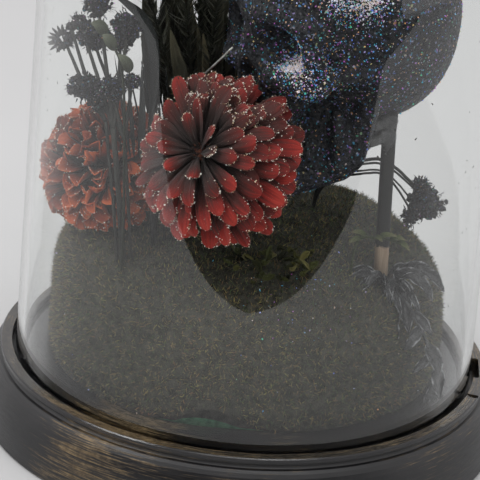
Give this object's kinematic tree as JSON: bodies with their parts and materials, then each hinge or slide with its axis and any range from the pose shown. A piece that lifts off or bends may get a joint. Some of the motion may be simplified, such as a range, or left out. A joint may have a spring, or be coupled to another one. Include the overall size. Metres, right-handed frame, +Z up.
{
  "type": "bell jar display",
  "caption": "Lift-off glass dome on a round flared base with a grooved rim, covering a turf mound with a skull on a post, flowers and dried stems.",
  "frame": {"origin": "centre of the base's underside, on the table", "axes": "+Z up through the crown of the glass, -Y towards the front, +X to the right seen from the front"},
  "size_m": [0.2268, 0.2268, 0.305],
  "materials": {
    "plinth": "satin black with gold dry-brushing",
    "glass": "clear gloss",
    "foam": "matte green florist foam",
    "turf": "short flocked fibre",
    "post": "matte black paint, bare at the foot",
    "skull": "black with holographic glitter",
    "glue": "milky hot glue",
    "stem": "dull green",
    "zinnia": "matte red with gold glitter tips",
    "mum": "matte orange-red with glitter tips",
    "umbel": "black, lightly glittered",
    "olive": "matte olive",
    "blade": "dull black-green",
    "needles": "dull olive black",
    "twig": "silver",
    "blackleaf": "gloss black",
    "greenleaf": "matte green"
  },
  "bodies": {
    "base": {"base_plinth": "plinth", "mound_foam": "foam", "mound_turf": "turf", "skull_post": "post", "skull_cranium": "skull", "skull_mandible": "skull", "glue_web": "glue", "zinnia_stem": "stem", "zinnia_calyx": "stem", "zinnia_petals_back": "zinnia", "zinnia_petals_mid": "zinnia", "zinnia_petals_front": "zinnia", "zinnia_eye": "zinnia", "mum_stem": "stem", "mum_calyx": "stem", "mum_petals_back": "mum", "mum_petals_mid": "mum", "mum_petals_front": "mum", "mum_eye": "mum", "umbel_spray_outer": "umbel", "umbel_spray_upper": "umbel", "umbel_spray_lower": "umbel", "umbel_spray_right": "umbel", "olive_leaves": "olive", "grass_blades": "blade", "needle_foliage": "needles", "silver_twig": "twig", "foot_leaves": "blackleaf", "foot_vine": "blackleaf", "green_sprig": "greenleaf", "leaf_litter": "greenleaf"},
    "dome": {"glass_dome": "glass"}
  },
  "joints": [
    {"name": "dome_lift", "type": "slide", "parent": "base", "child": "dome", "axis": [0, 0, 1], "range_m": [0, 0.25]}
  ]
}
